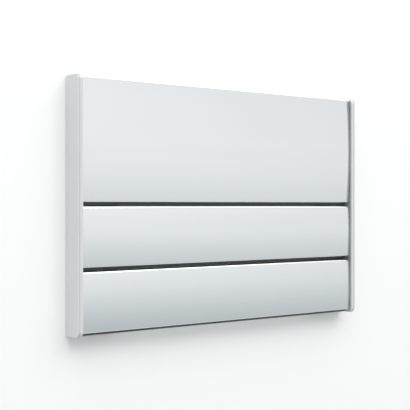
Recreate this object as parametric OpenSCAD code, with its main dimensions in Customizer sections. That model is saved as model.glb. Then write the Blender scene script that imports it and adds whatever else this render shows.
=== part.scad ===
// Modular door sign: three snap-on aluminium slats on two wall rails, closed by a moulded cap at each end.
// X runs to the right along the sign, Y points into the wall and Z points up.
// The origin is on the wall plane, at the centre of the four wall screws.

/* [Sign] */
// Overall width, from the outer face of one cap to the other
sign_w = 150; // [110:1:300]
// Height of one module; the stack has four of them
module_h = 25; // [20:0.5:40]
// Depth of the end caps, from the wall to their front
cap_d = 9.5; // [8.6:0.1:13]

/* [Slats] */
// Wall thickness of the slat extrusion
slat_wall = 1.2; // [0.9:0.05:1.35]
// Lean of the crowned face at its top and bottom edge, in degrees
crown_tilt = 3; // [1:0.25:4.5]
// Radius of the slat's top front edge
top_r = 1.2; // [0.7:0.1:1.8]
// Radius of the slat's bottom front edge
bottom_r = 0.25; // [0.1:0.05:0.4]
// Fillet inside the extrusion, where the face meets its legs
fillet_r = 0.4; // [0.2:0.05:0.6]
// Height of the groove under each face
groove_h = 1.5; // [1.3:0.1:2.4]
// Open part of that groove, under the set-back lip
groove_gap = 0.4; // [0.2:0.1:1]
// Thickness of the set-back lip, from front to back
lip_t = 1.6; // [1.1:0.05:1.9]
// Thickness of the heel behind that lip, which reaches down to the next slat and closes the groove
heel_t = 0.7; // [0.4:0.05:0.9]
// Thickness of the hooks that the clips catch
hook_t = 0.75; // [0.6:0.05:1.1]
// Height of the hooks over the wall they stand on
hook_h = 0.9; // [0.6:0.05:1.2]
// Lead-in on the back corner of each hook
hook_lead = 0.35; // [0.1:0.05:0.5]
// Thickness of the web that carries the tall slat's middle hooks
rib_t = 1.4; // [0.9:0.1:2]

/* [Caps] */
// Width of the cap's front strip
cap_front_w = 2.2; // [1.7:0.1:4]
// Thickness of the cap's side wall
cap_wall = 1.2; // [1:0.05:1.5]
// How far the caps stand proud of the slats
cap_proud = 1.1; // [0.8:0.1:2.4]
// Corner radius at the front of the cap, seen from the side
cap_front_r = 2.4; // [1:0.1:4]
// Corner radius at the wall side of the cap, seen from the side
cap_back_r = 0.8; // [0.4:0.1:1]
// Width of the bead along the cap's outer front edge
bead_w = 0.45; // [0.35:0.05:0.6]
// Width of the fine line between the bead and the front strip
line_w = 0.35; // [0.15:0.05:0.4]
// Depth of that fine line
line_d = 0.25; // [0.1:0.05:0.3]
// Edge break along the cap's side outline
edge_c = 0.25; // [0.1:0.05:0.3]
// Width of the foot that lies against the wall, from the cap's outer face
foot_w = 3.8; // [2.5:0.1:5]
// Thickness of that foot
foot_t = 1.2; // [0.8:0.1:2]

/* [Rails] */
// Width of the rail
rail_w = 14; // [13.5:0.1:17]
// Thickness of the rail's base
rail_base = 1.1; // [0.8:0.05:1.3]
// Height of the slot that the clips sit in
rail_slot = 0.9; // [0.75:0.05:1.2]
// Thickness of the two lips that hold the clips
rail_lip = 0.8; // [0.7:0.05:1.1]
// Thickness of the rail's side walls
rail_wall = 1.3; // [0.9:0.1:1.6]
// Width of the mouth between the lips
rail_mouth = 8.6; // [7.5:0.1:9.4]
// Depth of the guide line along the rail's base
guide_d = 0.25; // [0.1:0.05:0.4]
// How far the rail stops short of the sign's top and bottom
rail_short = 1.5; // [0.5:0.1:4]
// Distance from the cap's outer face to the rail's centre line
rail_inset = 15; // [13:0.5:25]
// Diameter of the wall screw holes
screw_d = 4.3; // [3:0.1:5]

/* [Clips] */
// Thickness of the clip's two arms
arm_t = 1.1; // [0.8:0.05:1.6]
// Thickness of the web that joins the arms
web_t = 2; // [1.6:0.1:2.4]
// Radius of the clip's inner corners
clip_r = 0.6; // [0.3:0.1:0.8]
// Slope on the nose of each barb, measured from its front; it takes up half the barb at most
nose_l = 0.45; // [0.2:0.05:0.5]
// Clear distance between a clip and the cap's tongues
tongue_stop = 2.7; // [1:0.1:5]

/* [Fits] */
// Clearance where two pieces hold each other
fit_gap = 0.1; // [0.05:0.01:0.15]
// Clearance where a piece slides or flexes past another
slide_gap = 0.2; // [0.12:0.01:0.25]

/* [Hidden] */

module_count = 4;
tall_h = 2 * module_h;
sign_h = module_count * module_h;
bottom_z = -sign_h / 2;

// Depths, measured from the wall to the front; the clips' barbs fill what the hooks and the face leave
rail_d = rail_base + rail_slot + rail_lip;
hook_back = rail_d + slide_gap;
hook_front = hook_back + hook_t;
lip_front = hook_back + lip_t;
barb_back = hook_front + fit_gap;
slat_front = cap_d - cap_proud;
barb_front = inner_d(tall_h, tall_h - slat_wall, slide_gap);

// Heights in one module, measured from its bottom
shelf_top = groove_h + slat_wall;
hook_low = shelf_top + hook_h;
leg_low = module_h - slat_wall;
hook_high = leg_low - hook_h;

// Height of the tall slat's middle rib, halfway between the hooks that it carries
rib_z = (hook_high + module_h + hook_low) / 2;

// Places along the sign
cap_x = sign_w / 2;
slat_x = cap_x - cap_wall - slide_gap;
rail_x = cap_x - rail_inset;
clip_w = rail_mouth - 2 * slide_gap;
tongue_x = rail_x + clip_w / 2 + tongue_stop;

// Steps in a corner's arc and in a slat's crown
arc_steps = 10;
crown_steps = 28;

// How far joined shapes run into each other, and cuts past a surface
join = 0.3;

// Thickness of the slices that an edge break is stretched between
skin = 0.01;

ALUMINIUM = "#dfe4e8";
MILL_ALUMINIUM = "#b9bdc1";
CAP_GREY = "#d3d5d6";
CLIP_WHITE = "#ecebe4";

// Points along an arc of radius r about c, from angle a to angle b
function arc(c, r, a, b, steps = arc_steps) =
    [for (i = [0:steps]) c + r * [cos(a + (b - a) * i / steps), sin(a + (b - a) * i / steps)]];

// The crowned face of a slat of height h is an arc of this radius about this centre
function crown_r(h) = (h - groove_h) / 2 / sin(crown_tilt);
function crown_c(h) = [slat_front - crown_r(h), (h + groove_h) / 2];

// Angle and centre of a corner of radius r, at height z, that runs smoothly into the crown drawn in by inset
function corner_a(h, r, z, inset = 0) = asin((z - crown_c(h)[1]) / (crown_r(h) - inset - r));
function corner_c(h, r, z, inset = 0) =
    crown_c(h) + (crown_r(h) - inset - r) * [cos(corner_a(h, r, z, inset)), sin(corner_a(h, r, z, inset))];

// Depth of the face's inner side, drawn in by a further gap, at height z of a slat of height h
function inner_d(h, z, gap = 0) =
    crown_c(h)[0] + sqrt(pow(crown_r(h) - slat_wall - gap, 2) - pow(z - crown_c(h)[1], 2));

// Turns a side-view outline, with depth to the right and height upwards, and extrudes it from x0 to x1
module along_x(x0, x1) {
    translate([x0, 0, bottom_z]) rotate([90, 0, 90]) linear_extrude(x1 - x0) mirror([1, 0]) children();
}

// Outline of a slat of height h: crowned face, round top edge, hooked legs and the set-back lip
module slat_outline(h) {
    top = h - top_r;
    bottom = groove_h + bottom_r;
    inner_top = h - slat_wall - fillet_r;
    inner_bottom = shelf_top + fillet_r;
    a_top = corner_a(h, top_r, top);
    a_bottom = corner_a(h, bottom_r, bottom);
    a_inner_top = corner_a(h, fillet_r, inner_top, slat_wall);
    a_inner_bottom = corner_a(h, fillet_r, inner_bottom, slat_wall);
    polygon(concat(
        arc(corner_c(h, bottom_r, bottom), bottom_r, -90, a_bottom),
        arc(crown_c(h), crown_r(h), a_bottom, a_top, crown_steps),
        arc(corner_c(h, top_r, top), top_r, a_top, 90),
        [
            [hook_back, h],
            [hook_back, h - slat_wall - hook_h + hook_lead],
            [hook_back + hook_lead, h - slat_wall - hook_h],
            [hook_front, h - slat_wall - hook_h],
            [hook_front, h - slat_wall]
        ],
        arc(corner_c(h, fillet_r, inner_top, slat_wall), fillet_r, 90, a_inner_top),
        arc(crown_c(h), crown_r(h) - slat_wall, a_inner_top, a_inner_bottom, crown_steps),
        arc(corner_c(h, fillet_r, inner_bottom, slat_wall), fillet_r, a_inner_bottom, -90),
        [
            [hook_front, shelf_top],
            [hook_front, hook_low],
            [hook_back + hook_lead, hook_low],
            [hook_back, hook_low - hook_lead],
            [hook_back, fit_gap],
            [hook_back + heel_t, fit_gap],
            [hook_back + heel_t, groove_gap],
            [lip_front, groove_gap],
            [lip_front, groove_h]
        ]
    ));
}

// Middle rib of the tall slat: a web with a cross bar, whose two edges are hooks for the inner clip arms
module middle_rib() {
    low = rib_z - rib_t / 2;
    high = rib_z + rib_t / 2;
    bar_low = hook_high;
    bar_high = module_h + hook_low;
    along_x(-slat_x, slat_x) polygon([
        [hook_back, bar_low + hook_lead],
        [hook_back + hook_lead, bar_low],
        [hook_front, bar_low],
        [hook_front, bar_high],
        [hook_back + hook_lead, bar_high],
        [hook_back, bar_high - hook_lead]
    ]);
    along_x(-slat_x, slat_x) polygon([
        [hook_back + hook_t / 2, low],
        [inner_d(tall_h, low) + join, low],
        [inner_d(tall_h, high) + join, high],
        [hook_back + hook_t / 2, high]
    ]);
}

module slat(h, z) {
    color(ALUMINIUM) translate([0, 0, z]) {
        along_x(-slat_x, slat_x) slat_outline(h);
        if (h > module_h) middle_rib();
    }
}

module tall_slat() {
    slat(tall_h, 2 * module_h);
}

module middle_slat() {
    slat(module_h, module_h);
}

module bottom_slat() {
    slat(module_h, 0);
}

// Side-view outline of a cap, drawn in by inset all round
module cap_outline(inset) {
    front = cap_d - cap_front_r;
    polygon(concat(
        arc([cap_back_r, sign_h - cap_back_r], cap_back_r - inset, 90, 180),
        arc([cap_back_r, cap_back_r], cap_back_r - inset, 180, 270),
        arc([front, cap_front_r], cap_front_r - inset, 270, 360),
        arc([front, sign_h - cap_front_r], cap_front_r - inset, 0, 90)
    ));
}

// Thin slice of an outline, centred on x
module slice(x) {
    along_x(x - skin / 2, x + skin / 2) children();
}

// Part of a cap that narrows from its full outline to the edge break
module edge_break(wide_x, narrow_x) {
    hull() {
        slice(wide_x) cap_outline(0);
        slice(narrow_x + skin / 2 * sign(wide_x - narrow_x)) cap_outline(edge_c);
    }
}

// Tongue that plugs into a slat's end, behind its face and in front of its hooks
module tongue(h, z, low, high) {
    gap = fit_gap;
    translate([0, 0, z]) along_x(-cap_x + cap_wall - join, -tongue_x) polygon(concat(
        [[barb_back, high], [barb_back, low]],
        [for (i = [0:arc_steps]) let (v = low + (high - low) * i / arc_steps) [inner_d(h, v, gap), v]]
    ));
}

// Left end cap: side wall, proud front strip over the slat ends, foot on the wall and tongues for the slats
module left_cap() {
    outer = -cap_x;
    strip = outer + bead_w + line_w;
    inner = outer + cap_front_w;
    low = shelf_top + fillet_r;
    high = leg_low - fillet_r;
    rib_gap = rib_t / 2 + slide_gap;
    color(CAP_GREY) {
        difference() {
            union() {
                edge_break(outer + edge_c, outer);
                along_x(outer + edge_c, outer + bead_w) cap_outline(0);
                along_x(outer + bead_w - join / 2, strip + join / 2) cap_outline(line_d);
                along_x(strip, inner - edge_c) cap_outline(0);
                edge_break(inner - edge_c, inner);
                along_x(inner - join, outer + foot_w) intersection() {
                    cap_outline(edge_c);
                    square([foot_t, sign_h]);
                }
            }
            along_x(outer + cap_wall, outer + foot_w + join) translate([foot_t, -join])
                square([slat_front + fit_gap - foot_t, sign_h + 2 * join]);
        }
        tongue(module_h, 0, low, high);
        tongue(module_h, module_h, low, high);
        tongue(tall_h, 2 * module_h, low, rib_z - rib_gap);
        tongue(tall_h, 2 * module_h, rib_z + rib_gap, module_h + high);
    }
}

module right_cap() {
    mirror([1, 0, 0]) left_cap();
}

// Rail: a C-section with a guide line down its base, drilled for two wall screws between the clips
module rail(x) {
    half = rail_w / 2;
    room = half - rail_wall;
    mouth = rail_mouth / 2;
    color(MILL_ALUMINIUM) difference() {
        translate([x, 0, bottom_z + rail_short])
            linear_extrude(sign_h - 2 * rail_short) mirror([0, 1]) polygon([
                [-half, 0],
                [half, 0],
                [half, rail_d],
                [mouth, rail_d],
                [mouth, rail_d - rail_lip],
                [room, rail_d - rail_lip],
                [room, rail_base],
                [guide_d, rail_base],
                [0, rail_base - guide_d],
                [-guide_d, rail_base],
                [-room, rail_base],
                [-room, rail_d - rail_lip],
                [-mouth, rail_d - rail_lip],
                [-mouth, rail_d],
                [-half, rail_d]
            ]);
        for (z = [-module_h, module_h])
            translate([x, join, z]) rotate([90, 0, 0])
                cylinder(h = rail_base + 2 * join, d = screw_d, $fn = 48);
    }
}

module left_rail() {
    rail(-rail_x);
}

module right_rail() {
    rail(rail_x);
}

// Side view of a clip in its module: a web, two arms and the barbs behind which the slat's hooks sit
module clip_outline() {
    back = rail_base + fit_gap;
    web = back + web_t;
    low = hook_low + slide_gap;
    high = hook_high - slide_gap;
    barb_low = shelf_top + slide_gap;
    barb_high = leg_low - slide_gap;
    nose_back = barb_front - min(nose_l, (barb_front - barb_back) / 2);
    polygon(concat(
        [
            [back, low],
            [barb_back, low],
            [barb_back, barb_low],
            [nose_back, barb_low],
            [barb_front, low],
            [barb_front, low + arm_t]
        ],
        arc([web + clip_r, low + arm_t + clip_r], clip_r, 270, 180),
        arc([web + clip_r, high - arm_t - clip_r], clip_r, 180, 90),
        [
            [barb_front, high - arm_t],
            [barb_front, high],
            [nose_back, barb_high],
            [barb_back, barb_high],
            [barb_back, high],
            [back, high]
        ]
    ));
}

// One clip in the module that starts at height z; its flat base is held under the rail's lips
module clip(x, z) {
    back = rail_base + fit_gap;
    base_w = rail_w - 2 * rail_wall - 2 * slide_gap;
    base_t = rail_slot - 2 * fit_gap;
    low = hook_low + slide_gap;
    high = hook_high - slide_gap;
    color(CLIP_WHITE) translate([x, 0, z]) {
        along_x(-clip_w / 2, clip_w / 2) clip_outline();
        along_x(-base_w / 2, base_w / 2) translate([back, low]) square([base_t, high - low]);
    }
}

module left_clip(number) {
    clip(-rail_x, (module_count - number) * module_h);
}

module right_clip(number) {
    clip(rail_x, (module_count - number) * module_h);
}

tall_slat();
middle_slat();
bottom_slat();
left_cap();
right_cap();
left_rail();
right_rail();
left_clip(1);  // left_clip_1
left_clip(2);  // left_clip_2
left_clip(3);  // left_clip_3
left_clip(4);  // left_clip_4
right_clip(1);  // right_clip_1
right_clip(2);  // right_clip_2
right_clip(3);  // right_clip_3
right_clip(4);  // right_clip_4
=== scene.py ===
"""Looks of a modular door sign: three satin anodised slats on two wall rails, with a moulded cap at each end.

The frame is the part's own, in metres: X runs along the sign, Y points into the wall and Z points up. Sizes of the
sections are written in millimetres, as they stand on a drawing, and are turned into metres where a mesh is made.
"""

import logging
import math
from dataclasses import dataclass
from enum import Enum
from typing import Any, Iterable

import bmesh
import bpy
from bmesh.types import BMEdge, BMesh, BMFace, BMVert
from bpy.types import Material, Node, NodeSocket, NodeTree, Object
from mathutils import Matrix, Vector


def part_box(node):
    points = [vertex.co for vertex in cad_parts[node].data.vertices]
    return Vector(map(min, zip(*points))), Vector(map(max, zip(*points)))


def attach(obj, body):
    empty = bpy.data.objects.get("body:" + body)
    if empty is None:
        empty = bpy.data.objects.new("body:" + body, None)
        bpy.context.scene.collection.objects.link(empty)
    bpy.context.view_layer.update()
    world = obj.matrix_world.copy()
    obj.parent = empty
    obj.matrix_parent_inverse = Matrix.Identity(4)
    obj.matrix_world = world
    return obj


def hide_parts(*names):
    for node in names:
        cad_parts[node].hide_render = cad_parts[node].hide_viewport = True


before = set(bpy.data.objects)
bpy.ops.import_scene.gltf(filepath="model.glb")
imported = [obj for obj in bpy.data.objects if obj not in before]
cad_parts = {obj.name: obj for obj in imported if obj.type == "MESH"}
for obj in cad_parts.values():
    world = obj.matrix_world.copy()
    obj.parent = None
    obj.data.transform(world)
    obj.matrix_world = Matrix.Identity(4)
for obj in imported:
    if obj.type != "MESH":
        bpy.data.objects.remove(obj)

MM = 0.001
ROOT_BODY = "root"
SHARP_EDGE = math.radians(32)
STREAKS_TO_LINES = 0.08  # broad streaks of an extrusion for each die line: one in about twelve
CLOUDS_TO_GRAIN = 0.03
FILM_TO_PEEL = 0.1

log = logging.getLogger("door_sign")


def linear(colour: str) -> tuple[float, float, float, float]:
    """Turn an sRGB colour into the linear values that a shader takes.

    Args:
        colour: Hex code, such as "#eaeef0".

    Returns:
        Red, green and blue as linear values, and an alpha of 1.
    """
    channels = [int(colour[i:i + 2], 16) / 255 for i in (1, 3, 5)]
    red, green, blue = (c / 12.92 if c <= 0.04045 else ((c + 0.055) / 1.055) ** 2.4 for c in channels)
    return red, green, blue, 1.0


def add_node(tree: NodeTree, kind: str, inputs: dict[str | int, Any] | None = None, **settings: Any) -> Node:
    """Add a node to a tree, set it up and give its inputs their values or links.

    Args:
        tree: Node tree that takes the node.
        kind: Blender's name for the node's type.
        inputs: A value, or another node's output, for each input by its name or number.
        **settings: Properties of the node, such as the operation of a Math node.

    Returns:
        The new node.
    """
    node = tree.nodes.new(kind)
    for name, value in settings.items():
        setattr(node, name, value)
    for key, value in (inputs or {}).items():
        if isinstance(value, NodeSocket):
            tree.links.new(value, node.inputs[key])
        else:
            node.inputs[key].default_value = value
    return node


def new_material(name: str) -> tuple[Material, NodeTree]:
    """Make a material with an empty node tree.

    Args:
        name: Name of the material.

    Returns:
        The material and its tree.
    """
    material = bpy.data.materials.new(name)
    material.use_nodes = True
    material.node_tree.nodes.clear()
    return material, material.node_tree


class Run(Enum):
    """Direction in which an extrusion left the die, as the stretch of a pattern along X, Y and Z."""

    ALONG_SIGN = (0.01, 1.0, 1.0)
    UPRIGHT = (1.0, 1.0, 0.01)


@dataclass(frozen=True)
class ExtrudedAluminium:
    """Aluminium pressed through a die: long faint die lines, over the fine grain of the etched or bare metal."""

    name: str
    colour: str
    streak_colour: str
    roughness: float
    run: Run
    line_pitch: float
    line_depth: float
    grain_size: float
    grain_depth: float
    roughness_spread: float = 0.03

    def build(self) -> Material:
        """Make the material.

        Returns:
            A metal whose lines and streaks follow the direction of the extrusion.
        """
        material, tree = new_material(self.name)
        place = add_node(tree, "ShaderNodeTexCoord").outputs["Object"]
        drawn_out = add_node(tree, "ShaderNodeMapping", {"Vector": place, "Scale": self.run.value})
        lines = add_node(tree, "ShaderNodeTexNoise", {
            "Vector": drawn_out.outputs["Vector"], "Scale": 1 / (self.line_pitch * MM), "Detail": 2.0})
        streaks = add_node(tree, "ShaderNodeTexNoise", {
            "Vector": drawn_out.outputs["Vector"], "Scale": STREAKS_TO_LINES / (self.line_pitch * MM), "Detail": 3.0})
        grain = add_node(tree, "ShaderNodeTexNoise", {
            "Vector": place, "Scale": 1 / (self.grain_size * MM), "Detail": 1.0})
        line_bump = add_node(tree, "ShaderNodeBump", {
            "Height": lines.outputs["Fac"], "Distance": self.line_depth * MM})
        bump = add_node(tree, "ShaderNodeBump", {
            "Height": grain.outputs["Fac"], "Distance": self.grain_depth * MM, "Normal": line_bump.outputs["Normal"]})
        tint = add_node(tree, "ShaderNodeMix", {
            "Factor": streaks.outputs["Fac"], "A": linear(self.colour), "B": linear(self.streak_colour)},
            data_type="RGBA")
        gloss = add_node(tree, "ShaderNodeMapRange", {
            "Value": streaks.outputs["Fac"], "To Min": self.roughness - self.roughness_spread,
            "To Max": self.roughness + self.roughness_spread})
        surface = add_node(tree, "ShaderNodeBsdfPrincipled", {
            "Base Color": tint.outputs[2], "Metallic": 1.0, "Roughness": gloss.outputs["Result"],
            "Normal": bump.outputs["Normal"]})
        add_node(tree, "ShaderNodeOutputMaterial", {"Surface": surface.outputs["BSDF"]})
        return material


@dataclass(frozen=True)
class MouldedPlastic:
    """Injection-moulded thermoplastic: the even, fine grain of the mould's surface under a soft sheen."""

    name: str
    colour: str
    shade_colour: str
    roughness: float
    ior: float
    grain_size: float
    grain_depth: float
    roughness_spread: float = 0.05

    def build(self) -> Material:
        """Make the material.

        Returns:
            A plastic with the mould's grain as bump and a faint clouding of its colour.
        """
        material, tree = new_material(self.name)
        place = add_node(tree, "ShaderNodeTexCoord").outputs["Object"]
        grain = add_node(tree, "ShaderNodeTexNoise", {
            "Vector": place, "Scale": 1 / (self.grain_size * MM), "Detail": 2.0, "Roughness": 0.6})
        clouds = add_node(tree, "ShaderNodeTexNoise", {
            "Vector": place, "Scale": CLOUDS_TO_GRAIN / (self.grain_size * MM), "Detail": 3.0})
        bump = add_node(tree, "ShaderNodeBump", {
            "Height": grain.outputs["Fac"], "Distance": self.grain_depth * MM})
        tint = add_node(tree, "ShaderNodeMix", {
            "Factor": clouds.outputs["Fac"], "A": linear(self.colour), "B": linear(self.shade_colour)},
            data_type="RGBA")
        gloss = add_node(tree, "ShaderNodeMapRange", {
            "Value": grain.outputs["Fac"], "To Min": self.roughness - self.roughness_spread,
            "To Max": self.roughness + self.roughness_spread})
        surface = add_node(tree, "ShaderNodeBsdfPrincipled", {
            "Base Color": tint.outputs[2], "IOR": self.ior, "Roughness": gloss.outputs["Result"],
            "Normal": bump.outputs["Normal"]})
        add_node(tree, "ShaderNodeOutputMaterial", {"Surface": surface.outputs["BSDF"]})
        return material


@dataclass(frozen=True)
class PaintedShadeFilm:
    """Painted shade: a dark matt film laid on metal where shade should fall, with a faint orange peel and an uneven
    sheen.
    """

    name: str
    colour: str
    thin_colour: str
    roughness: float
    ior: float
    peel_size: float
    peel_depth: float
    roughness_spread: float = 0.06

    def build(self) -> Material:
        """Make the material.

        Returns:
            A dark film of painted shade, a little paler in places.
        """
        material, tree = new_material(self.name)
        place = add_node(tree, "ShaderNodeTexCoord").outputs["Object"]
        peel = add_node(tree, "ShaderNodeTexNoise", {
            "Vector": place, "Scale": 1 / (self.peel_size * MM), "Detail": 1.0})
        film = add_node(tree, "ShaderNodeTexNoise", {
            "Vector": place, "Scale": FILM_TO_PEEL / (self.peel_size * MM), "Detail": 2.0})
        bump = add_node(tree, "ShaderNodeBump", {
            "Height": peel.outputs["Fac"], "Distance": self.peel_depth * MM})
        tint = add_node(tree, "ShaderNodeMix", {
            "Factor": film.outputs["Fac"], "A": linear(self.colour), "B": linear(self.thin_colour)},
            data_type="RGBA")
        gloss = add_node(tree, "ShaderNodeMapRange", {
            "Value": film.outputs["Fac"], "To Min": self.roughness - self.roughness_spread,
            "To Max": self.roughness + self.roughness_spread})
        surface = add_node(tree, "ShaderNodeBsdfPrincipled", {
            "Base Color": tint.outputs[2], "IOR": self.ior, "Roughness": gloss.outputs["Result"],
            "Normal": bump.outputs["Normal"]})
        add_node(tree, "ShaderNodeOutputMaterial", {"Surface": surface.outputs["BSDF"]})
        return material


# Etched matt and clear anodised: a cool, silky white metal, with die lines that only just show. Die lines are about
# 0.1 mm wide on the real slat and are drawn four times as wide, because less wouldn't show in the picture.
SATIN_ANODISED = ExtrudedAluminium(
    name="satin_anodised_aluminium", colour="#f0f4f6", streak_colour="#ecf0f3", roughness=0.18, run=Run.ALONG_SIGN,
    line_pitch=0.4, line_depth=0.0008, grain_size=0.12, grain_depth=0.0006)

# Painted shade: a dark grey film on the groove's roof, set-back lip and heel. It stands in for the shade in the gap
# between two slats and makes that gap a clean dark line.
GROOVE_PAINTED_SHADE = PaintedShadeFilm(
    name="painted_groove_shade", colour="#5e6162", thin_colour="#676a6b", roughness=0.55, ior=1.5, peel_size=0.3,
    peel_depth=0.002)

# Left as it came from the press: greyer and glossier, with coarser die lines up and down the rail.
MILL_FINISH = ExtrudedAluminium(
    name="mill_finish_aluminium", colour="#c6cacd", streak_colour="#b5b9bd", roughness=0.34, run=Run.UPRIGHT,
    line_pitch=0.35, line_depth=0.003, grain_size=0.15, grain_depth=0.001)

# ABS moulded in light grey against a spark-eroded mould wall: a dry, even surface with a low sheen. Its grain is
# 0.1 mm on the real cap, and is drawn twice as coarse, because less wouldn't show in the picture.
GREY_ABS = MouldedPlastic(
    name="spark_textured_abs", colour="#d4d6d7", shade_colour="#d0d2d3", roughness=0.52, ior=1.53,
    grain_size=0.2, grain_depth=0.003)

# Painted shade: a greyer, duller plastic on the inner side of the cap's front strip. It stands in for the shade in
# the corner where the strip meets the slats' ends.
STRIP_SHADE_PLASTIC = MouldedPlastic(
    name="painted_strip_shade", colour="#aaacad", shade_colour="#a5a7a8", roughness=0.7, ior=1.5,
    grain_size=0.15, grain_depth=0.002)

# Unpigmented acetal from a polished mould: a waxy off-white that snaps over the hooks without wearing.
NATURAL_ACETAL = MouldedPlastic(
    name="natural_acetal", colour="#ecebe4", shade_colour="#e5e3da", roughness=0.36, ior=1.48,
    grain_size=0.5, grain_depth=0.002)


class SectionPen:
    """Draws a closed outline across the sign, by depth from the wall and by height, both in millimetres."""

    def __init__(self, mesh: BMesh, x: float, base: float) -> None:
        """Set the pen on a plane.

        Args:
            mesh: Mesh that takes the outline.
            x: Where the outline's plane stands along the sign, in metres.
            base: Height that the outline's heights are counted from, in metres.
        """
        self.mesh = mesh
        self.x = x
        self.base = base
        self.before = set(mesh.edges)
        self.first: BMVert | None = None
        self.last: BMVert | None = None

    def place(self, depth: float, height: float) -> Vector:
        """Give the point at a depth and a height, in metres."""
        return Vector((self.x, -depth * MM, self.base + height * MM))

    def start(self, depth: float, height: float) -> None:
        """Begin the outline at a depth and a height."""
        self.first = self.last = self.mesh.verts.new(self.place(depth, height))

    def line(self, *points: tuple[float, float]) -> None:
        """Go on in straight lines.

        Args:
            *points: Depth and height of each point on the way.
        """
        for depth, height in points:
            made = bmesh.ops.extrude_vert_indiv(self.mesh, verts=[self.last])
            self.last = made["verts"][0]
            self.last.co = self.place(depth, height)

    def arc(self, centre: tuple[float, float], turn: float, steps: int) -> None:
        """Go on round a centre.

        Args:
            centre: Depth and height of the centre.
            turn: Angle to go through, in radians, from the depth's direction towards the height's.
            steps: Number of straight steps that make up the arc.
        """
        made = bmesh.ops.spin(
            self.mesh, geom=[self.last], cent=self.place(*centre), axis=(1, 0, 0), angle=-turn, steps=steps)
        self.last = next(item for item in made["geom_last"] if isinstance(item, BMVert))

    def close(self) -> BMFace:
        """Join the end to the start and fill the outline.

        Returns:
            The face inside the outline.
        """
        bmesh.ops.contextual_create(self.mesh, geom=[self.last, self.first])
        drawn = [edge for edge in self.mesh.edges if edge not in self.before]
        return bmesh.ops.contextual_create(self.mesh, geom=drawn)["faces"][0]


def push(mesh: BMesh, face: BMFace, travel: float) -> BMFace:
    """Extrude a face along the sign.

    Args:
        mesh: Mesh that holds the face.
        face: Face to extrude.
        travel: How far it goes along X, in metres.

    Returns:
        The face at the far end.
    """
    made = bmesh.ops.extrude_face_region(mesh, geom=[face, *face.edges])["geom"]
    bmesh.ops.translate(mesh, vec=(travel, 0, 0), verts=[item for item in made if isinstance(item, BMVert)])
    return next(item for item in made if isinstance(item, BMFace))


def cut(mesh: BMesh, faces: Iterable[BMFace], point: Vector, normal: tuple[float, float, float]) -> list[BMFace]:
    """Cut faces along a plane and keep both halves.

    Args:
        mesh: Mesh that holds the faces.
        faces: Faces to cut.
        point: A point on the plane.
        normal: Direction that the plane faces.

    Returns:
        The cut faces and those that the plane missed.
    """
    faces = list(faces)
    edges = {edge for face in faces for edge in face.edges}
    verts = {vert for face in faces for vert in face.verts}
    made = bmesh.ops.bisect_plane(mesh, geom=[*verts, *edges, *faces], plane_co=point, plane_no=normal)
    return [item for item in made["geom"] if isinstance(item, BMFace)]


def lies_at(edge: BMEdge, level: float) -> bool:
    """Say whether an edge runs along the sign at one place on Y, in metres."""
    return all(math.isclose(vert.co.y, level, abs_tol=1e-6) for vert in edge.verts)


def finish_piece(mesh: BMesh, node: str, slot: str, *finishes: Material) -> Object:
    """Turn a mesh into a piece that stands for a node of the part.

    Args:
        mesh: Closed mesh of the piece, which is freed here.
        node: Node that the piece replaces.
        slot: Material slot of the record that the finishes belong to; not used.
        *finishes: Materials of the piece, in the order of its faces' material numbers.

    Returns:
        The piece, riding on the sign's only body.
    """
    bmesh.ops.recalc_face_normals(mesh, faces=mesh.faces)
    for face in mesh.faces:
        face.smooth = True
    for edge in mesh.edges:
        edge.smooth = edge.is_manifold and edge.calc_face_angle() < SHARP_EDGE
    data = bpy.data.meshes.new(f"{node}_piece")
    mesh.to_mesh(data)
    mesh.free()
    for finish in finishes:
        data.materials.append(finish)
    piece = bpy.data.objects.new(f"{node}_piece", data)
    bpy.context.scene.collection.objects.link(piece)
    weighting = piece.modifiers.new("normals", "WEIGHTED_NORMAL")
    weighting.keep_sharp = True
    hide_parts(node)
    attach(piece, ROOT_BODY)
    return piece


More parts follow.
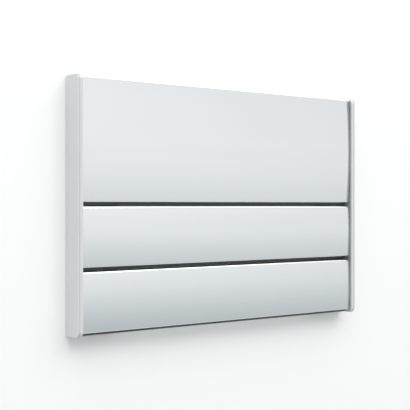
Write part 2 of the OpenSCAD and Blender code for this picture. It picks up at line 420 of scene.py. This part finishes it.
@dataclass
class SlatSection:
    """Section of the slat extrusion, in millimetres, with its depths counted from the wall."""

    front: float
    hook_back: float
    wall: float = 1.2
    crown_tilt: float = math.radians(3)
    top_r: float = 1.2
    bottom_r: float = 0.25
    fillet_r: float = 0.4
    groove_h: float = 1.5
    groove_gap: float = 0.4
    lip_t: float = 1.6
    heel_t: float = 0.7
    hook_t: float = 0.75
    hook_h: float = 0.9
    hook_lead: float = 0.35
    rib_t: float = 1.4
    fit_gap: float = 0.1
    heel_gap: float = 0.02  # the solid's is 0.1; real slats rest on each other, and no light comes through

    @property
    def hook_front(self) -> float:
        """Depth of the hooks' front side."""
        return self.hook_back + self.hook_t

    @property
    def lip_front(self) -> float:
        """Depth of the set-back lip's front side."""
        return self.hook_back + self.lip_t

    @property
    def heel_front(self) -> float:
        """Depth of the front side of the heel, which closes the groove behind the lip."""
        return self.hook_back + self.heel_t

    @property
    def shelf(self) -> float:
        """Height of the shelf that closes the face at its bottom."""
        return self.groove_h + self.wall

    def rib_height(self, module_h: float) -> float:
        """Give the height of the tall slat's middle rib, halfway between the hooks on its two edges."""
        return (module_h - self.wall - self.hook_h + module_h + self.shelf + self.hook_h) / 2

    def crown_radius(self, height: float) -> float:
        """Give the radius of the crowned face of a slat of this height."""
        return (height - self.groove_h) / 2 / math.sin(self.crown_tilt)

    def crown_centre(self, height: float) -> tuple[float, float]:
        """Give the depth and height of the crown's centre for a slat of this height."""
        return self.front - self.crown_radius(height), (height + self.groove_h) / 2

    def corner(self, height: float, radius: float, level: float, inset: float) -> tuple[float, tuple[float, float]]:
        """Find a corner that runs smoothly into the crown.

        Args:
            height: Height of the slat.
            radius: Radius of the corner.
            level: Height of the corner's centre.
            inset: How far the crown is drawn in, which is the wall on its inner side.

        Returns:
            The angle at which the corner meets the crown, and the corner's centre.
        """
        reach = self.crown_radius(height) - inset - radius
        depth, middle = self.crown_centre(height)
        angle = math.asin((level - middle) / reach)
        return angle, (depth + reach * math.cos(angle), level)

    def inner_depth(self, height: float, level: float, gap: float = 0.0) -> float:
        """Give the depth of the face's inner side.

        Args:
            height: Height of the slat.
            level: Height at which the depth is wanted.
            gap: Further distance kept from the inner side.

        Returns:
            The depth at that level.
        """
        depth, middle = self.crown_centre(height)
        return depth + math.sqrt((self.crown_radius(height) - self.wall - gap) ** 2 - (level - middle) ** 2)


@dataclass
class Slat:
    """One slat of the sign: an aluminium extrusion, cut to length."""

    node: str
    section: SlatSection
    module_h: float
    crown_steps: int = 56
    corner_steps: int = 16
    fillet_steps: int = 5

    @property
    def height(self) -> float:
        """Height from the bottom of the slat's module to its top, in millimetres."""
        low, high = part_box(self.node)
        return (high.z - low.z) / MM + self.section.fit_gap

    def draw_face(self, pen: SectionPen) -> None:
        """Draw the front: a small bottom edge, the crown and the round top edge, back to the top hook's corner.

        Args:
            pen: Pen that draws the slat's outline.
        """
        s, h = self.section, self.height
        bottom, bottom_centre = s.corner(h, s.bottom_r, s.groove_h + s.bottom_r, 0)
        top, top_centre = s.corner(h, s.top_r, h - s.top_r, 0)
        pen.start(bottom_centre[0], s.groove_h)
        pen.arc(bottom_centre, bottom + math.pi / 2, self.fillet_steps)
        pen.arc(s.crown_centre(h), top - bottom, self.crown_steps)
        pen.arc(top_centre, math.pi / 2 - top, self.corner_steps)
        pen.line((s.hook_back, h))

    def draw_top_hook(self, pen: SectionPen) -> None:
        """Draw the hook that hangs from the top leg, with its lead-in.

        Args:
            pen: Pen that draws the slat's outline.
        """
        s = self.section
        under = self.height - s.wall
        tip = under - s.hook_h
        pen.line((s.hook_back, tip + s.hook_lead), (s.hook_back + s.hook_lead, tip), (s.hook_front, tip),
                 (s.hook_front, under))

    def draw_inside(self, pen: SectionPen) -> None:
        """Draw the inner side of the face downwards, between its fillets, and round the rib where there is one.

        Args:
            pen: Pen that draws the slat's outline.
        """
        s, h = self.section, self.height
        top, top_centre = s.corner(h, s.fillet_r, h - s.wall - s.fillet_r, s.wall)
        bottom, bottom_centre = s.corner(h, s.fillet_r, s.shelf + s.fillet_r, s.wall)
        pen.line((top_centre[0], h - s.wall))
        pen.arc(top_centre, top - math.pi / 2, self.fillet_steps)
        at = top
        if h > self.module_h:
            at = self.draw_rib(pen, top)
        pen.arc(s.crown_centre(h), bottom - at, self.crown_steps // 2)
        pen.arc(bottom_centre, -math.pi / 2 - bottom, self.fillet_steps)

    def draw_rib(self, pen: SectionPen, start: float) -> float:
        """Draw the T-shaped rib whose two edges are the middle hooks.

        Args:
            pen: Pen that draws the slat's outline.
            start: Angle on the crown at which the pen stands.

        Returns:
            The angle on the crown at which the pen goes on.
        """
        s, h = self.section, self.height
        bar_low = self.module_h - s.wall - s.hook_h
        bar_high = self.module_h + s.shelf + s.hook_h
        middle = s.rib_height(self.module_h)
        low, high = middle - s.rib_t / 2, middle + s.rib_t / 2
        radius, centre = s.crown_radius(h) - s.wall, s.crown_centre(h)
        high_angle = math.asin((high - centre[1]) / radius)
        low_angle = math.asin((low - centre[1]) / radius)
        pen.arc(centre, high_angle - start, self.crown_steps // 2)
        pen.line((s.hook_front, high), (s.hook_front, bar_high), (s.hook_back + s.hook_lead, bar_high),
                 (s.hook_back, bar_high - s.hook_lead), (s.hook_back, bar_low + s.hook_lead),
                 (s.hook_back + s.hook_lead, bar_low), (s.hook_front, bar_low), (s.hook_front, low),
                 (s.inner_depth(h, low), low))
        return low_angle

    def draw_foot(self, pen: SectionPen) -> None:
        """Draw the bottom hook, the heel behind the groove and the set-back lip.

        Args:
            pen: Pen that draws the slat's outline.
        """
        s, tip = self.section, self.section.shelf + self.section.hook_h
        pen.line((s.hook_front, s.shelf), (s.hook_front, tip), (s.hook_back + s.hook_lead, tip),
                 (s.hook_back, tip - s.hook_lead), (s.hook_back, s.heel_gap), (s.heel_front, s.heel_gap),
                 (s.heel_front, s.groove_gap), (s.lip_front, s.groove_gap), (s.lip_front, s.groove_h))

    def build(self, finish: Material, groove_shade: Material) -> Object:
        """Press the section along the sign and paint shade onto its side of the groove.

        Args:
            finish: Material of the slat.
            groove_shade: Painted shade for the groove's roof, the set-back lip and the heel behind it.

        Returns:
            The finished slat.
        """
        low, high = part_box(self.node)
        mesh = bmesh.new()
        pen = SectionPen(mesh, low.x, high.z - self.height * MM)
        self.draw_face(pen)
        self.draw_top_hook(pen)
        self.draw_inside(pen)
        self.draw_foot(pen)
        push(mesh, pen.close(), high.x - low.x)
        roof, back = pen.base + (self.section.groove_h + 0.01) * MM, (self.section.heel_front - 0.01) * MM
        # The groove's roof, lip and heel take the second material, the painted shade of the groove.
        for face in mesh.faces:
            face.material_index = all(vert.co.z < roof and -vert.co.y > back for vert in face.verts)
        return finish_piece(mesh, self.node, "anodised_slat", finish, groove_shade)


@dataclass
class EndCap:
    """Moulded end cap: a side wall with a bead and a fine line round it, a proud front strip, a foot and tongues."""

    node: str
    section: SlatSection
    module_h: float
    front_w: float = 2.2
    wall: float = 1.2
    front_r: float = 2.4
    back_r: float = 0.8
    bead_w: float = 0.45
    line_w: float = 0.35
    line_d: float = 0.25
    line_slope: float = 0.03
    edge_r: float = 0.25
    foot_w: float = 3.8
    foot_t: float = 1.2
    slide_gap: float = 0.2
    corner_steps: int = 16
    edge_steps: int = 4
    tongue_steps: int = 8

    def draw_outline(self, mesh: BMesh, outer: float, base: float, depth: float, height: float) -> BMFace:
        """Draw the cap's rounded outline.

        Args:
            mesh: Mesh that takes the outline.
            outer: Place of the cap's outer face along the sign, in metres.
            base: Height of the cap's lower end, in metres.
            depth: Depth of the cap, in millimetres.
            height: Height of the cap, in millimetres.

        Returns:
            The face inside the outline.
        """
        quarter = math.pi / 2
        front, back = depth - self.front_r, self.back_r
        pen = SectionPen(mesh, outer, base)
        pen.start(back, height)
        pen.arc((back, height - back), quarter, self.corner_steps // 2)
        pen.line((0, back))
        pen.arc((back, back), quarter, self.corner_steps // 2)
        pen.line((front, 0))
        pen.arc((front, self.front_r), quarter, self.corner_steps)
        pen.line((depth, height - self.front_r))
        pen.arc((front, height - self.front_r), quarter, self.corner_steps)
        return pen.close()

    def raise_rims(self, mesh: BMesh, wall: BMFace) -> None:
        """Raise the front strip and the foot from the side wall's inner face.

        Args:
            mesh: Mesh that holds the cap.
            wall: The side wall's inner face.
        """
        levels = (-self.foot_t * MM, -(self.section.front + self.section.fit_gap) * MM)
        faces = [wall]
        for level in levels:
            faces = cut(mesh, faces, Vector((0, level, 0)), (0, 1, 0))
        foot = max(faces, key=lambda face: face.calc_center_median().y)
        strip = min(faces, key=lambda face: face.calc_center_median().y)
        strip = push(mesh, strip, (self.front_w - self.wall) * MM)
        self.round_edges(mesh, [edge for edge in strip.edges if not lies_at(edge, levels[1])])
        foot = push(mesh, foot, (self.front_w - self.wall - self.edge_r) * MM)
        bmesh.ops.inset_region(mesh, faces=[foot], thickness=self.edge_r * MM, depth=self.edge_r * MM)
        for vert in foot.verts:
            if vert.co.y < levels[0] + 2 * self.edge_r * MM:
                vert.co.y = levels[0]
        push(mesh, foot, (self.foot_w - self.front_w) * MM)

    def round_edges(self, mesh: BMesh, edges: Iterable[BMEdge]) -> None:
        """Give edges of the cap's outline their radius.

        Args:
            mesh: Mesh that holds the cap.
            edges: Edges to round.
        """
        bmesh.ops.bevel(
            mesh, geom=list(edges), offset=self.edge_r * MM, offset_type="OFFSET", segments=self.edge_steps,
            profile=0.5, affect="EDGES", material=-1, clamp_overlap=True)

    def scribe_line(self, mesh: BMesh, outer: float) -> None:
        """Sink the fine line between the bead and the front strip, all round the cap.

        Args:
            mesh: Mesh that holds the cap.
            outer: Place of the cap's outer face along the sign, in metres.
        """
        start = outer + self.bead_w * MM
        end = start + self.line_w * MM
        for x in (start, end):
            cut(mesh, mesh.faces, Vector((x, 0, 0)), (1, 0, 0))
        ring = [face for face in mesh.faces if start < face.calc_center_median().x < end]
        bmesh.ops.inset_region(
            mesh, faces=ring, thickness=self.line_slope * MM, depth=-self.line_d * MM, use_boundary=True,
            use_even_offset=True)

    def add_tongues(self, mesh: BMesh, start: float, end: float) -> None:
        """Add the tongues that plug into the slats' ends.

        Args:
            mesh: Mesh that holds the cap.
            start: Where the tongues start along the sign, inside the side wall, in metres.
            end: Where they end, in metres.
        """
        s, tall = self.section, 2 * self.module_h
        low, high = s.shelf + s.fillet_r, self.module_h - s.wall - s.fillet_r
        rib = s.rib_height(self.module_h)
        keep = s.rib_t / 2 + self.slide_gap
        for height, module, bottom, top in (
                (self.module_h, -2, low, high), (self.module_h, -1, low, high),
                (tall, 0, low, rib - keep), (tall, 0, rib + keep, self.module_h + high)):
            back = s.hook_front + s.fit_gap
            depth, middle = s.crown_centre(height)
            reach = s.crown_radius(height) - s.wall - s.fit_gap
            turn = math.asin((top - middle) / reach) - math.asin((bottom - middle) / reach)
            pen = SectionPen(mesh, start, module * self.module_h * MM)
            pen.start(back, bottom)
            pen.line((s.inner_depth(height, bottom, s.fit_gap), bottom))
            pen.arc((depth, middle), turn, self.tongue_steps)
            pen.line((back, top))
            push(mesh, pen.close(), end - start)

    def build(self, finish: Material, strip_shade: Material) -> Object:
        """Mould the cap.

        Args:
            finish: Material of the cap.
            strip_shade: Painted shade for the inner side of the cap's front strip, in the corner beside the slats.

        Returns:
            The finished cap.
        """
        low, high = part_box(self.node)
        mirrored = high.x > 0
        outer, end = (-high.x, -low.x) if mirrored else (low.x, high.x)
        mesh = bmesh.new()
        outline = self.draw_outline(mesh, outer, low.z, -low.y / MM, (high.z - low.z) / MM)
        wall = push(mesh, outline, self.wall * MM)
        self.round_edges(mesh, [edge for edge in mesh.edges if all(abs(v.co.x - outer) < 1e-7 for v in edge.verts)])
        self.raise_rims(mesh, wall)
        self.scribe_line(mesh, outer)
        self.add_tongues(mesh, outer + self.wall * MM / 2, end)
        strip_back, strip_side = (self.section.front + self.section.fit_gap) * MM, outer + self.front_w * MM
        # The inner side of the front strip takes the second material, the painted shade of the corner.
        for face in mesh.faces:
            middle = face.calc_center_median()
            face.material_index = -middle.y > strip_back and math.isclose(middle.x, strip_side, abs_tol=0.01 * MM)
        if mirrored:
            bmesh.ops.scale(mesh, vec=(-1, 1, 1), verts=mesh.verts)
        return finish_piece(mesh, self.node, "cap_plastic", finish, strip_shade)


@dataclass
class Fitting:
    """A rail or a clip: the part's own solid, with its edges broken as the die or the mould leaves them."""

    node: str
    edge: float
    steps: int = 2

    def dress(self, finish: Material) -> Object:
        """Give the node its finish and its broken edges.

        Args:
            finish: Material of the fitting.

        Returns:
            The node's object.
        """
        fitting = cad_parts[self.node]
        for slot in fitting.material_slots:
            slot.material = finish
        weld = fitting.modifiers.new("joined_faces", "WELD")
        weld.merge_threshold = 0.001 * MM
        edges = fitting.modifiers.new("broken_edges", "BEVEL")
        edges.width = self.edge * MM
        edges.segments = self.steps
        edges.limit_method = "ANGLE"
        edges.angle_limit = SHARP_EDGE
        edges.harden_normals = True
        return fitting


@dataclass(frozen=True)
class PaintedBoard:
    """Emulsion on a flat board: the wall behind the sign and the floor far below it."""

    name: str
    colour: str
    glow: float = 0.0
    see_through_back: bool = False

    def build(self) -> Material:
        """Make the material.

        Returns:
            A matt paint that shows as a white ground, keeps the sign's shadow and hides nothing from behind.
        """
        material, tree = new_material(self.name)
        surface = add_node(tree, "ShaderNodeBsdfDiffuse", {"Color": linear(self.colour)}).outputs["BSDF"]
        if self.glow:
            surface = self.add_glow(tree, surface)
        if self.see_through_back:
            side = add_node(tree, "ShaderNodeNewGeometry")
            clear = add_node(tree, "ShaderNodeBsdfTransparent")
            surface = add_node(tree, "ShaderNodeMixShader", {
                0: side.outputs["Backfacing"], 1: surface, 2: clear.outputs["BSDF"]}).outputs["Shader"]
        add_node(tree, "ShaderNodeOutputMaterial", {"Surface": surface})
        return material

    def add_glow(self, tree: NodeTree, surface: NodeSocket) -> NodeSocket:
        """Add a glow that the camera, metal and glass see, and that lights nothing else.

        Args:
            tree: Node tree of the paint.
            surface: Output of the paint's own shader.

        Returns:
            Output of the paint with its glow.
        """
        path = add_node(tree, "ShaderNodeLightPath")
        seen = add_node(tree, "ShaderNodeMath", {
            0: path.outputs["Is Camera Ray"], 1: path.outputs["Is Glossy Ray"]}, operation="MAXIMUM")
        seen = add_node(tree, "ShaderNodeMath", {
            0: seen.outputs["Value"], 1: path.outputs["Is Transmission Ray"]}, operation="MAXIMUM")
        strength = add_node(tree, "ShaderNodeMath", {0: seen.outputs["Value"], 1: self.glow}, operation="MULTIPLY")
        ground = add_node(tree, "ShaderNodeEmission", {"Strength": strength.outputs["Value"]})
        return add_node(tree, "ShaderNodeAddShader", {0: surface, 1: ground.outputs["Emission"]}).outputs["Shader"]


@dataclass
class Softbox:
    """Large soft lamp, set by how bright its face looks and not by its power."""

    name: str
    direction: tuple[float, float]
    distance: float
    size: tuple[float, float]
    brightness: float
    colour: str = "#ffffff"

    def build(self) -> Object:
        """Hang the lamp and aim it at the sign.

        Returns:
            The lamp.
        """
        azimuth, elevation = (math.radians(angle) for angle in self.direction)
        out = Vector((math.sin(azimuth) * math.cos(elevation), -math.cos(azimuth) * math.cos(elevation),
                      math.sin(elevation)))
        lamp = bpy.data.lights.new(self.name, "AREA")
        lamp.shape = "RECTANGLE"
        lamp.size, lamp.size_y = self.size
        lamp.energy = self.brightness * math.pi * self.size[0] * self.size[1]
        lamp.color = linear(self.colour)[:3]
        hung = bpy.data.objects.new(self.name, lamp)
        hung.location = out * self.distance
        hung.rotation_mode = "QUATERNION"
        hung.rotation_quaternion = out.to_track_quat("Z", "Y")
        bpy.context.scene.collection.objects.link(hung)
        return hung


@dataclass(frozen=True)
class RoomLight:
    """Soft light from the whole room, by the angle above or below the horizon that it comes from, in degrees.

    The camera sees a plain ground in its place.
    """

    levels: tuple[tuple[float, float, str], ...]
    full: float
    right_side: float
    ground: str
    right_from: tuple[float, float] = (0.6, 0.8)
    right_slant: float = 0.5

    def build(self) -> None:
        """Make the room's light and hand it to the scene."""
        world = bpy.data.worlds.new("soft_room")
        world.use_nodes = True
        tree = world.node_tree
        tree.nodes.clear()
        direction = add_node(tree, "ShaderNodeTexCoord").outputs["Generated"]
        axes = add_node(tree, "ShaderNodeSeparateXYZ", {"Vector": direction})
        rise = add_node(tree, "ShaderNodeMapRange", {"Value": axes.outputs["Z"], "From Min": -1.0})
        ramp = add_node(tree, "ShaderNodeValToRGB", {"Fac": rise.outputs["Result"]})
        stops = ramp.color_ramp.elements
        for angle, level, tint in self.levels:
            stop = stops.new((math.sin(math.radians(angle)) + 1) / 2)
            stop.color = [channel * level / self.full for channel in linear(tint)[:3]] + [1]
        stops.remove(stops[0])
        stops.remove(stops[-1])
        right = add_node(tree, "ShaderNodeVectorMath", {
            0: direction, 1: (1, 0, self.right_slant)}, operation="DOT_PRODUCT")
        side = add_node(tree, "ShaderNodeMapRange", {
            "Value": right.outputs["Value"], "From Min": self.right_from[0], "From Max": self.right_from[1],
            "To Min": self.full, "To Max": self.full * self.right_side})
        light = add_node(tree, "ShaderNodeBackground", {
            "Color": ramp.outputs["Color"], "Strength": side.outputs["Result"]})
        ground = add_node(tree, "ShaderNodeBackground", {"Color": linear(self.ground)})
        path = add_node(tree, "ShaderNodeLightPath")
        seen = add_node(tree, "ShaderNodeMixShader", {
            0: path.outputs["Is Camera Ray"], 1: light.outputs["Background"], 2: ground.outputs["Background"]})
        add_node(tree, "ShaderNodeOutputWorld", {"Surface": seen.outputs["Shader"]})
        bpy.context.scene.world = world


@dataclass
class Studio:
    """White wall with the sign on it, a pale floor far below, soft lamps and a soft sky of light round it all."""

    wall_size: float = 1.6
    floor_level: float = -0.32
    floor_size: float = 0.9
    opening: tuple[float, float, float, float] = (-0.0743, 0.0743, -0.049, 0.0475)
    behind: float = 0.0001

    def build_wall(self) -> Object:
        """Stand the wall behind the sign, cut out where only the sign's open back faces it.

        Returns:
            The wall, through whose opening light reaches the back of the sign in views from behind.
        """
        mesh = bmesh.new()
        bmesh.ops.create_grid(mesh, x_segments=1, y_segments=1, size=self.wall_size / 2)
        left, right, bottom, top = self.opening
        for point, normal in (((left, 0, 0), (1, 0, 0)), ((right, 0, 0), (1, 0, 0)),
                              ((0, bottom, 0), (0, 1, 0)), ((0, top, 0), (0, 1, 0))):
            cut(mesh, mesh.faces, Vector(point), normal)
        inside = [face for face in mesh.faces if left < face.calc_center_median().x < right
                  and bottom < face.calc_center_median().y < top]
        bmesh.ops.delete(mesh, geom=inside, context="FACES")
        bmesh.ops.rotate(mesh, verts=mesh.verts, cent=(0, 0, 0), matrix=Matrix.Rotation(math.pi / 2, 3, "X"))
        bmesh.ops.translate(mesh, vec=(0, self.behind, 0), verts=mesh.verts)
        return self.finish(mesh, "wall", WALL_PAINT.build())

    def build_floor(self) -> Object:
        """Lay the floor below the sign.

        Returns:
            The floor.
        """
        mesh = bmesh.new()
        bmesh.ops.create_grid(mesh, x_segments=1, y_segments=1, size=self.floor_size / 2)
        bmesh.ops.translate(mesh, vec=(0, 0, self.floor_level), verts=mesh.verts)
        return self.finish(mesh, "floor", FLOOR_PAINT.build())

    def finish(self, mesh: BMesh, name: str, paint: Material) -> Object:
        """Turn a mesh into part of the stage.

        Args:
            mesh: Mesh of the board, which is freed here.
            name: Name of the board.
            paint: Material of the board.

        Returns:
            The board.
        """
        data = bpy.data.meshes.new(name)
        mesh.to_mesh(data)
        mesh.free()
        data.materials.append(paint)
        board = bpy.data.objects.new(name, data)
        bpy.context.scene.collection.objects.link(board)
        return board

    def build(self) -> None:
        """Set the whole studio up."""
        self.build_wall()
        self.build_floor()
        ROOM_LIGHT.build()
        for lamp in LAMPS:
            lamp.build()
        bpy.context.scene.view_settings.view_transform = "Standard"


@dataclass
class Viewpoint:
    """Camera of the photograph: level, at the sign's mid-height, to the left of it."""

    place: tuple[float, float, float] = (-0.26572, -0.32926, 0.0003)
    heading: float = math.radians(38.155)
    lens: float = 86.347

    def build(self) -> Object:
        """Set the camera up and make it the scene's.

        Returns:
            The camera.
        """
        camera = bpy.data.cameras.new("camera")
        camera.lens = self.lens
        camera.sensor_width = 36
        holder = bpy.data.objects.new("camera", camera)
        holder.location = self.place
        holder.rotation_euler = (math.pi / 2, 0, -self.heading)
        bpy.context.scene.collection.objects.link(holder)
        bpy.context.scene.camera = holder
        return holder


# Fresh white wall paint, which keeps the sign's soft shadow.
WALL_PAINT = PaintedBoard(name="wall_emulsion", colour="#f7f7f7", see_through_back=True)

# Grey floor paint, so that little light comes up into the shadow under the sign; its glow makes it show white.
FLOOR_PAINT = PaintedBoard(name="floor_emulsion", colour="#929292", glow=0.62)

# A bright ceiling and upper wall, and a duller, cooler lower wall: its edge at eye level is what the crowned slats
# mirror as their fall from pale to grey. The right side of the room is a little duller than the left.
ROOM_LIGHT = RoomLight(
    levels=((-89.9, 0.6, "#ffffff"), (-45, 0.6, "#ffffff"), (-32, 0.6, "#fcffff"), (-24, 0.57, "#fafeff"),
            (-17, 0.44, "#f8fdff"), (-11, 0.56, "#f9feff"), (-6, 0.74, "#fbffff"), (-1, 0.91, "#ffffff"),
            (4, 0.96, "#ffffff"), (15, 0.93, "#ffffff"), (40, 1.07, "#ffffff"), (89.9, 1.0, "#ffffff")),
    full=1.1, right_side=0.9, ground="#fcfcfc")

LAMPS = (
    Softbox("key_softbox", direction=(42, 48), distance=1.6, size=(1.1, 0.9), brightness=1.32),
    Softbox("left_softbox", direction=(-40, 50), distance=1.6, size=(1.1, 0.9), brightness=1.67),
    Softbox("front_softbox", direction=(5, 40), distance=1.6, size=(1.4, 0.7), brightness=1.77),
    Softbox("top_softbox", direction=(0, 75), distance=1.6, size=(1.2, 0.7), brightness=0.4),
)


def main() -> None:
    """Build the sign's pieces in order, dress those that keep their own mesh, and set the studio up."""
    logging.basicConfig(level=logging.INFO, format="%(name)s: %(message)s")
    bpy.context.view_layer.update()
    Viewpoint().build()
    low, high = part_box("tall_slat")
    section = SlatSection(front=-low.y / MM, hook_back=-high.y / MM)
    small_low, small_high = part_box("middle_slat")
    module_h = (small_high.z - small_low.z) / MM + section.fit_gap
    anodised, groove_shade, abs_plastic = SATIN_ANODISED.build(), GROOVE_PAINTED_SHADE.build(), GREY_ABS.build()
    mill, acetal, strip_shade = MILL_FINISH.build(), NATURAL_ACETAL.build(), STRIP_SHADE_PLASTIC.build()
    pieces = [Slat(node, section, module_h).build(anodised, groove_shade)
              for node in ("tall_slat", "middle_slat", "bottom_slat")]
    pieces += [EndCap(node, section, module_h).build(abs_plastic, strip_shade) for node in ("left_cap", "right_cap")]
    pieces += [Fitting(f"{side}_rail", edge=0.12).dress(mill) for side in ("left", "right")]
    pieces += [Fitting(f"{side}_clip_{number}", edge=0.08).dress(acetal)
               for side in ("left", "right") for number in (1, 2, 3, 4)]
    for piece in pieces:
        log.info("%s: %d faces", piece.name, len(piece.data.polygons))
    Studio().build()


if __name__ == "__main__":
    main()
